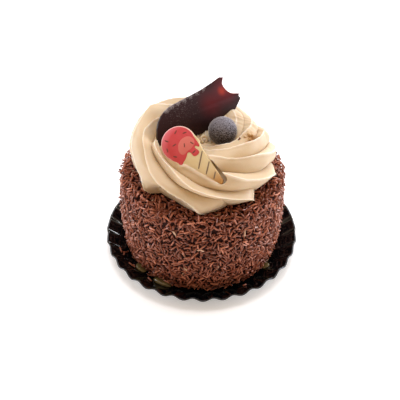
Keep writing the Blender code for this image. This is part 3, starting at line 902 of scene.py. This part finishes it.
def cream_surface():
    """place(u, v) on the ridged cream: u counts ridges round it, v goes from the foot to the middle."""
    lengths = [0.0]
    for a, b in zip(CREAM_SECTION, CREAM_SECTION[1:]):
        lengths.append(lengths[-1] + math.dist(a, b))
    radii = [(s, x) for s, (x, y) in zip(lengths, CREAM_SECTION)]
    heights = [(s, y) for s, (x, y) in zip(lengths, CREAM_SECTION)]

    def on_section(s):
        return Vector((through(radii, s), through(heights, s)))

    def ridge_turn(k, s):
        laps, k = divmod(k, len(RIDGES))
        foot, side = RIDGES[k][:2]
        way = side + (foot - side) * through(CLIMB, s) if s < RIDGE_SIDE else side + through(WINDING, s)
        return way + 360 * laps

    rows = {}

    def row_values(v):
        if v not in rows:
            s = v * lengths[-1]
            way = on_section(min(s + NORMAL_STEP, lengths[-1])) - on_section(max(s - NORMAL_STEP, 0))
            turns = [ridge_turn(k, s) for k in range(len(RIDGES) + 1)]
            depth = through(RIDGE_DEPTH, s)
            rows[v] = s, on_section(s), Vector((way.y, -way.x)).normalized(), turns, depth
        return rows[v]

    def place(u, v):
        s, spot, normal, turns, depth = row_values(v)
        share = u * len(RIDGES)
        k = min(int(share + 1e-6), len(RIDGES) - 1)
        half = 2 * (share - k)
        half -= PACKING * math.sin(2 * math.pi * half)
        (foot_crease, crease), reach = RIDGES[k][2:]
        next_reach = RIDGES[(k + 1) % len(RIDGES)][3]
        crease = foot_crease + (crease - foot_crease) * ease(s, *CREASE_SETTLES)
        part = crease * half if half < 1 else crease + (1 - crease) * (half - 1)
        turn = turns[k] + (turns[k + 1] - turns[k]) * part
        crest = 1 - 2 * max(0.0, min(half, 2 - half)) ** (1 + CREST_ROUND * ease(s, *ROUNDING_STARTS))
        push = (crest + edge_shape(crest) / depth) * depth * smoothstep(spot.x / RIDGE_FADE)
        middle, wide, loss = SMOOTH_SIDE
        off = abs(turned_from(middle, turn))
        push *= 1 - loss * smoothstep(1.4 * (1 - off / wide)) * ease(s, *SMOOTH_STARTS)
        push += (reach + (next_reach - reach) * part) * ease(s, *LOWER_HALF)
        for middle, level, wide, tall, rise in SWELLS:
            off = abs(turned_from(middle, turn))
            push += rise * smoothstep(1 - off / wide) * smoothstep(1 - abs(s - level) / tall)
        radius = spot.x + push * normal.x
        height = spot.y + push * normal.y * smoothstep(s / FOOT_FADE)
        spot = polar(radius, turn, CREAM_BASE + height)
        if 1 < s < lengths[-1] - 1:
            spot += polar(normal.x, turn, normal.y) * unevenness(spot, max(0.0, crest))
        # Painted highlight on the lips and painted shade in the folds, which fade out at the middle
        painted_light_and_shade = ease(crest, LIP_HIGHLIGHT_STARTS, 1) - ease(-crest, FOLD_SHADE_STARTS, 1)
        return *spot, painted_light_and_shade * smoothstep(spot.xy.length / PAINTED_LIGHT_FADE)

    return place


def edge_shape(crest):
    """The thin lip that the nozzle leaves along a crest, and the narrow fold at the bottom of a crease."""
    return CREST_LIP * ease(crest, LIP_STARTS, 1) - CREASE_FOLD * ease(-crest, FOLD_STARTS, 1)


def unevenness(spot, crest):
    """How far hand-piped cream stands out here: slow swells, ragged crests, folds and the pit on top."""
    out = sum(high * noise.noise(spot / size) for high, size in WAVES)
    high, size = RAGGED
    out += high * crest**6 * noise.noise(spot / size)
    top = ease(spot.z - CREAM_BASE, *TOP_STARTS)
    if top > 0:
        x, y = FOLD_WAY
        along, across = spot.x * x + spot.y * y, spot.y * x - spot.x * y
        middle, half_width = FOLD_BAND
        folded = smoothstep(1 - abs(across - middle) / half_width) * ease(along, *FOLD_RUN)
        high, long, wide = FOLD_SIZE
        out += high * top * folded * noise.noise(Vector((along / long, across / wide, 3)))
        first, last = PIT
        way = last - first
        flat = Vector((spot.x, spot.y, 0))
        share = (flat - first).dot(way) / way.length_squared
        aside = (flat - first - way * min(1.0, max(0.0, share))).length
        wide = PIT_WIDTH * (0.45 + 0.55 * min(1.0, max(0.0, share)))
        out -= PIT_DEPTH * top * smoothstep(1.5 - aside / wide)
        torn = smoothstep(1 - (flat - first - TORN_OFF).length / TORN_AND_PIT_SHADE_REACH)
        high, size = TORN_LUMPS
        out += high * top * torn * noise.noise(spot / size)
    return out


def outline_gaps(outline, spots):
    """How far each flat spot lies from a closed outline, negative inside it. Takes and gives numpy arrays."""
    gaps = np.full(len(spots), np.inf)
    inside = np.zeros(len(spots), bool)
    for a, b in zip(outline, outline[1:] + outline[:1]):
        start, way = np.array(a), np.array(b - a)
        share = np.clip((spots - start) @ way / (way @ way), 0, 1)
        gaps = np.minimum(gaps, np.linalg.norm(spots - start - share[:, None] * way, axis=1))
        spans = (spots[:, 1] < a.y) != (spots[:, 1] < b.y)
        climb = way[1] if abs(way[1]) > 1e-9 else 1e-9
        inside ^= spans & (spots[:, 0] < start[0] + way[0] * (spots[:, 1] - start[1]) / climb)
    return np.where(inside, -gaps, gaps)


def resample(outline, step):
    """Evenly spaced points round a closed outline."""
    line = np.array(outline + outline[:1])
    along = np.concatenate([[0], np.cumsum(np.hypot(*np.diff(line, axis=0).T))])
    places = np.linspace(0, along[-1], round(along[-1] / step), endpoint=False)
    return np.stack([np.interp(places, along, line[:, k]) for k in (0, 1)], axis=1)


def press_plaque(made):
    """The cream gives way where the plaque was pushed in, and stands up in a thin bead along the cone."""
    placed = plaque_frame()
    back = placed.inverted()
    tree = BVHTree.FromBMesh(made)
    rim = resample(plaque_outline(), 1.0)
    levels = []
    for x, y in rim:
        hit = tree.ray_cast(placed @ Vector((x, y, 25)), -PLAQUE_FACE, 45)[0]
        level = (back @ hit).z if hit else -20.0
        low, high = PRESS_LIMITS
        push = min(high, level - LIP_HEIGHT)
        levels.append(push if push > 0 else max(low, push) * ease(x, *PRESS_ALONG))
    levels = np.mean([np.roll(levels, k) for k in range(-2, 3)], axis=0)
    near = [v for v in made.verts if (v.co - placed @ Vector((CONE_TIP / 3, 0, 0))).length < PRESS_NEAR]
    local = np.array([back @ v.co for v in near])
    gaps = outline_gaps(plaque_outline(), local[:, :2])
    weights = 1 / (((local[:, None, :2] - rim[None]) ** 2).sum(axis=2) + 0.4) ** 2
    shifts = (weights * levels).sum(axis=1) / weights.sum(axis=1)
    layer = made.verts.layers.float["painted_light_and_shade"]
    for vertex, (x, y, z), gap, shift in zip(near, local, gaps, shifts):
        outside = max(0.0, gap)
        drop = shift * smoothstep(1 - outside / PRESS_REACH) * ease(z, *PRESS_UP)
        bead = smoothstep(1 - outside / BEAD_WIDTH)
        bead *= ease(x, *BEAD_ALONG) * ease(y, *BEAD_ACROSS) * ease(z, *BEAD_UP)
        vertex.co -= PLAQUE_FACE * (drop - BEAD_HEIGHT * bead)
        # the bead's top is given a painted highlight
        vertex[layer] = max(vertex[layer], bead)


def cream(finish, cutters):
    made = sheet_of_points(len(RIDGES) * COLUMNS_PER_RIDGE, CREAM_ROWS, cream_surface())
    close_ends(made)
    press_plaque(made)
    tree = BVHTree.FromBMesh(made)
    thing = piece("piped_cream", made, finish, ["cream"], sharp=180)
    cut_out(thing, cutters)
    return tree


def crumbs(name, spots, cream_tree, finish):
    """Irregular lumps that lie on the cream."""
    made = bmesh.new()
    for x, y, size in spots:
        ground = cream_tree.ray_cast(Vector((x, y, FROM_ABOVE)), -UP)[0]
        where = Matrix.Translation(ground + UP * size * CRUMB_LIFT)
        lump = bmesh.ops.create_icosphere(made, subdivisions=2, radius=size, matrix=where)
        for vertex in lump["verts"]:
            out = vertex.co - where.translation
            vertex.co += out * CRUMB_LUMPS * noise.noise(vertex.co * 0.9 / size)
    piece(name, made, finish, ["cream"], sharp=180)


def curl(cream_tree, finish):
    """A small loop of cream rope that thins to its ends, turned towards the front."""
    made = bmesh.new()
    ground = cream_tree.ray_cast(Vector((*CURL_MIDDLE, FROM_ABOVE)), -UP)[0]
    middle = ground + UP * CURL_RADIUS
    rings = []
    side = UP.cross(CURL_FACE).normalized()
    up = CURL_FACE.cross(side)
    start, end = CURL_TURN
    for k in range(CURL_STEPS + 1):
        share = k / CURL_STEPS
        turn = math.radians(start + (end - start) * share)
        out = side * math.cos(turn) + up * math.sin(turn)
        centre = middle + out * CURL_RADIUS + CURL_FACE * CURL_PITCH * (share - 0.5)
        rope = CURL_ROPE * (0.55 + 0.45 * math.sin(math.pi * share))
        turns = [2 * math.pi * j / ROPE_SIDES for j in range(ROPE_SIDES)]
        ring = [centre + rope * (out * math.cos(a) + CURL_FACE * math.sin(a)) for a in turns]
        rings.append([made.verts.new(spot) for spot in ring])
    for near, far in zip(rings, rings[1:]):
        for j in range(ROPE_SIDES):
            made.faces.new((near[j - 1], near[j], far[j], far[j - 1]))
    made.faces.new(rings[0])
    made.faces.new(rings[-1])
    bmesh.ops.recalc_face_normals(made, faces=made.faces)
    piece("cream_curl", made, finish, ["cream"], sharp=60)


def cut_out(thing, cutters):
    """Takes the cutters' shapes out of a piece, for good, and removes them."""
    for cutter in cutters:
        step = thing.modifiers.new("cut", "BOOLEAN")
        step.operation = "DIFFERENCE"
        step.solver = "EXACT"
        step.object = cutter
    view = bpy.context.evaluated_depsgraph_get()
    mesh = bpy.data.meshes.new_from_object(thing.evaluated_get(view))
    thing.modifiers.clear()
    thing.data = mesh
    mesh.set_sharp_from_angle(angle=math.radians(50))
    for cutter in cutters:
        bpy.data.objects.remove(cutter)


def outset(points, room):
    """An outline moved outwards by room on every side."""
    pairs = list(zip(points, points[1:] + points[:1]))
    side = 1 if sum(a.x * b.y - b.x * a.y for a, b in pairs) > 0 else -1
    outward = [side * Vector((b.y - a.y, a.x - b.x)).normalized() for a, b in pairs]
    moved = []
    for point, before, after in zip(points, outward[-1:] + outward, outward):
        way = (before + after).normalized()
        moved.append(point + way * room / max(0.6, way.dot(after)))
    return moved


def cutter_object(name, made):
    bmesh.ops.recalc_face_normals(made, faces=made.faces)
    bmesh.ops.scale(made, vec=(MM, MM, MM), verts=made.verts)
    return new_object(name, new_mesh(name, made))


def prism(outline, low, high, flare=1.0):
    """An upright block on an outline, in millimetres, whose top may be wider than its foot."""
    made = bmesh.new()
    face = made.faces.new([made.verts.new((p.x, p.y, low)) for p in outline])
    grown = bmesh.ops.extrude_face_region(made, geom=[face])
    top = [g for g in grown["geom"] if isinstance(g, bmesh.types.BMVert)]
    middle = Matrix.Translation((-CONE_TIP / 3, 0, 0))
    bmesh.ops.scale(made, verts=top, vec=(flare, flare, 1), space=middle)
    bmesh.ops.translate(made, verts=top, vec=(0, 0, high - low))
    bmesh.ops.recalc_face_normals(made, faces=made.faces)
    return made


def plaque_seat():
    """The plaque's own shape and, over its face, an opening that leaves the cream's lip on its lower edge."""
    body = prism(outset(plaque_outline(), SEAT_ROOM), -PLAQUE_SHEET - SEAT_ROOM, SEAT_ROOM)
    lips = [LIP_OVER * ease(p.y, *LIP_ACROSS) * ease(p.x, *LIP_ALONG) for p in plaque_outline()]
    kept = [p + Vector((0, lip)) for p, lip in zip(plaque_outline(), lips)]
    opening = prism(kept, 0, *OPENING)
    wide = [GROOVE * ease(p.x, *GROOVE_ALONG) for p in kept]
    moves = [Vector((0.5 * ease(p.x, *GROOVE_TIP), ease(p.y, *GROOVE_ACROSS))) for p in kept]
    groove = prism([p + w * m for p, w, m in zip(kept, wide, moves)], -GROOVE_DEPTH, OPENING[0])
    # The cream's walls along the groove get painted shadow, in brown
    groove_shadow_layer = groove.verts.layers.float.new("painted_light_and_shade")
    for vertex in groove.verts:
        vertex[groove_shadow_layer] = GROOVE_PAINTED_SHADOW
    for made in (body, opening, groove):
        bmesh.ops.transform(made, matrix=plaque_frame(), verts=made.verts)
    named = (("plaque_seat", body), ("plaque_opening", opening), ("plaque_groove", groove))
    return [cutter_object(name, made) for name, made in named]


def round_ball(radius):
    made = bmesh.new()
    where = Matrix.Translation(BALL_CENTRE)
    bmesh.ops.create_uvsphere(made, u_segments=72, v_segments=40, radius=radius, matrix=where)
    return made


def ball(finish):
    made = round_ball(BALL_RADIUS)
    high, size = BALL_WAVES
    for vertex in made.verts:
        out = (vertex.co - BALL_CENTRE).normalized()
        vertex.co += out * (high * noise.noise(vertex.co / size) - BALL_ROOM)
    return piece("frosted_ball", made, finish, ["ball"], sharp=180)


def arc(centre, radius, start, end, steps):
    turns = [math.radians(start + (end - start) * k / steps) for k in range(steps + 1)]
    return [Vector((centre[0] + radius * math.cos(a), centre[1] + radius * math.sin(a))) for a in turns]


def plaque_outline():
    scoop = arc(SCOOP_MIDDLE, SCOOP_RADIUS, *SCOOP_TURN, 32)
    drip = arc(DRIP_MIDDLE, DRIP_RADIUS, *DRIP_TURN, 8)
    tip = arc((CONE_TIP - CONE_TIP_RADIUS, 0), CONE_TIP_RADIUS, -72, 72, 10)
    along, half = CONE_SIDE
    corners = [Vector(p) for p in MOUTH_RUN + [(along, -half), (along, half)] + MOUTH_CORNER]
    return scoop + corners[:1] + drip + corners[1:2] + tip + corners[2:]


def plaque_frame():
    return Matrix.Translation(PLAQUE_CENTRE) @ axes(PLAQUE_AXIS, PLAQUE_ACROSS, PLAQUE_FACE)


def plate(name, outlines, finish):
    """One layer of the plaque, on one or more outlines."""
    low, high, round_edge = LAYERS[name]
    made = bmesh.new()
    for outline in outlines:
        layer = prism(outline, low, high)
        rim = [e for e in layer.edges if all(abs(v.co.z - high) < 1e-6 for v in e.verts)]
        round_off(layer, rim, round_edge, 3)
        pour(new_mesh("layer", layer), made)
    bmesh.ops.transform(made, matrix=plaque_frame(), verts=made.verts)
    return piece(name, made, finish, ["plaque"], sharp=35)


def softened(points, rounds=2):
    """A closed outline with its corners cut twice, so that it flows."""
    points = [Vector(p) for p in points]
    for _ in range(rounds):
        pairs = zip(points, points[1:] + points[:1])
        points = [p for a, b in pairs for p in (a * 0.75 + b * 0.25, a * 0.25 + b * 0.75)]
    return points


def bar(start, end, width):
    start, end = Vector(start), Vector(end)
    way = (end - start).normalized() * width / 2
    side = Vector((-way.y, way.x))
    return softened([start - side, end - side, end + way, end + side, start + side, start - way], 1)


def plaque():
    """Ivory, with the scoop's colours raised on it a little, one over the other."""
    ivory = white_chocolate()
    edge = tinted_chocolate("pale pink cocoa butter", "F0B4B0", "F6C6C0", 5)
    red = tinted_chocolate("strawberry red cocoa butter", "C2383C", "CA4A4C", 4, "E88490")
    pale = tinted_chocolate("light red cocoa butter", "CE645A", "D6766A", 4)
    brown = tinted_chocolate("brown cocoa butter", "5E3028", "7A4638", 2)
    fawn = tinted_chocolate("fawn cocoa butter", "75604C", "8A745E", 2)
    rim = arc(SCOOP_MIDDLE, SCOOP_RADIUS - 0.12, 72, 284, 40)
    body = arc(SCOOP_MIDDLE, SCOOP_RADIUS - 0.55, 66, 288, 40)
    plate("plaque_base", [plaque_outline()], ivory)
    rim += [(3.4, -9.8), (4.4, -8.0), (4.4, 7.6)]
    plate("plaque_scoop_edge", [softened(rim)], edge)
    plate("plaque_scoop", [softened(body + SCOOP_DRIPS)], red)
    plate("plaque_field", [softened(PALE_FIELD)], pale)
    plate("plaque_lines", [bar(*ends, LINE_WIDTH) for ends in CONE_LINES], fawn)
    marks = []
    length, width = STROKE
    for x, y, heading in STROKES:
        way = polar(length / 2, heading, 0).xy
        marks.append(bar(Vector((x, y)) - way, Vector((x, y)) + way, width))
    plate("plaque_marks", marks, brown)


def wafer_outline():
    bite = arc(BITE_CENTRE, BITE_RADIUS, *BITE_TURN, 16)
    flat = [Vector(p) for p in WAFER_END + WAFER_TOP]
    return flat + bite + [Vector(p) for p in WAFER_BREAK]


def bent_strip(room, rounding=0.0):
    """The flat strip is cut across into bands, given its thickness, then bent round its axis."""
    made = prism(outset(wafer_outline(), room), room, -WAFER_SHEET - room)
    if rounding:
        rims = [e for e in made.edges if abs(e.verts[0].co.z - e.verts[1].co.z) < 0.01]
        round_off(made, rims, rounding, 2)
        for face in made.faces:
            face.material_index = int(abs(face.normal.z) < 0.99)
    low, high = WAFER_BURIED, WAFER_TOP[-2][1]
    for k in range(1, WAFER_STRIPS):
        cut_across(made, (0, low + (high - low) * k / WAFER_STRIPS, 0), (0, 1, 0))
    for vertex in made.verts:
        vertex.co = on_wafer(vertex.co)
    return made


def on_wafer(flat):
    """Where a spot of the flat strip lies when it is bent: along it, up it and out of its face."""
    lean = math.radians(WAFER_LEAN)
    along = (WAFER_RIGHT - WAFER_LEFT).normalized()
    front = along.cross(UP).normalized()
    up = front.cross(along)
    axis = WAFER_LEFT - WAFER_BEND * (math.cos(lean) * front + math.sin(lean) * up)
    turn = lean + flat.y / WAFER_BEND
    return axis + along * flat.x + (WAFER_BEND + flat.z) * (math.cos(turn) * front + math.sin(turn) * up)


def wafer(finish):
    thing = piece(
        "chocolate_wafer", bent_strip(0, WAFER_ROUNDING), finish, ["wafer"], sharp=35
    )
    thing.data.materials.append(bloomed_and_highlighted_edge())


def floor():
    """A plain pale table top, which isn't part of the cake."""
    made = bmesh.new()
    bmesh.ops.create_grid(made, x_segments=1, y_segments=1, size=4)
    bmesh.ops.translate(made, verts=made.verts, vec=(0, 0, -0.02 * MM))
    thing = new_object("floor", new_mesh("floor", made))
    thing.data.materials.append(finished(new_material("pale table")[0], {
        "Base Color": colour("F6F6F6"), "Roughness": 0.9,
        "Emission Color": colour("FFFFFF"), "Emission Strength": 0.32,
    }))
    thing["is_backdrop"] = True


def camera():
    turn = math.radians(CAMERA_ELEVATION)
    lens = bpy.data.cameras.new("camera")
    lens.sensor_width = SENSOR
    lens.lens = FOCAL_LENGTH
    lens.shift_x = -(FRAME_MIDDLE[0] - FRAME_SIZE / 2) / FRAME_SIZE
    lens.shift_y = (FRAME_MIDDLE[1] - FRAME_SIZE / 2) / FRAME_SIZE
    eye = Vector((0, -math.cos(turn), math.sin(turn))) * CAMERA_DISTANCE + UP * CAMERA_AIM
    view = Vector((0, math.cos(turn), -math.sin(turn))).to_track_quat("-Z", "Y").to_matrix().to_4x4()
    thing = new_object("camera", lens)
    roll = Matrix.Rotation(math.radians(CAMERA_ROLL), 4, "Z")
    thing.matrix_world = Matrix.Translation(eye * MM) @ view @ roll
    bpy.context.scene.camera = thing


def softbox(name, place, size, power, code):
    light = bpy.data.lights.new(name, "AREA")
    light.shape = "RECTANGLE"
    light.size, light.size_y = size
    light.energy = power
    light.color = colour(code)[:3]
    thing = new_object(name, light)
    thing.location = place
    thing.rotation_euler = (STUDIO_AIM - Vector(place)).to_track_quat("-Z", "Y").to_euler()


def studio():
    world = bpy.data.worlds.new("studio")
    world.use_nodes = True
    sky = world.node_tree.nodes["Background"].inputs
    sky["Color"].default_value = colour("FFE0BC")
    sky["Strength"].default_value = 0.6
    bpy.context.scene.world = world
    bpy.context.scene.view_settings.view_transform = "Standard"
    for name, settings in SOFTBOXES.items():
        softbox(name, *settings)


def main():
    section = coat_section()
    tray(polystyrene())
    seats = plaque_seat()
    seats.append(cutter_object("ball_seat", round_ball(BALL_RADIUS + SEAT_ROOM)))
    seats.append(cutter_object("wafer_slot", bent_strip(SEAT_ROOM)))
    whipped = mocha_cream()
    strands = vermicelli()
    tree = cream(whipped, seats)
    curl(tree, whipped)
    crumbs("cream_crumbs", CREAM_CRUMBS, tree, whipped)
    crumbs("chocolate_crumbs", CHOCOLATE_CRUMBS, tree, strands)
    drum_core(section, chocolate_bed_with_painted_shade())
    coat(section, tree, strands)
    melted(ice_cream())
    ball(frosted_chocolate())
    plaque()
    wafer(dark_chocolate())
    floor()
    camera()
    studio()
    boxes = {"cad": CAD_BOX, "visual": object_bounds()}
    {name: [list(corner) for corner in box] for name, box in boxes.items()}


main()
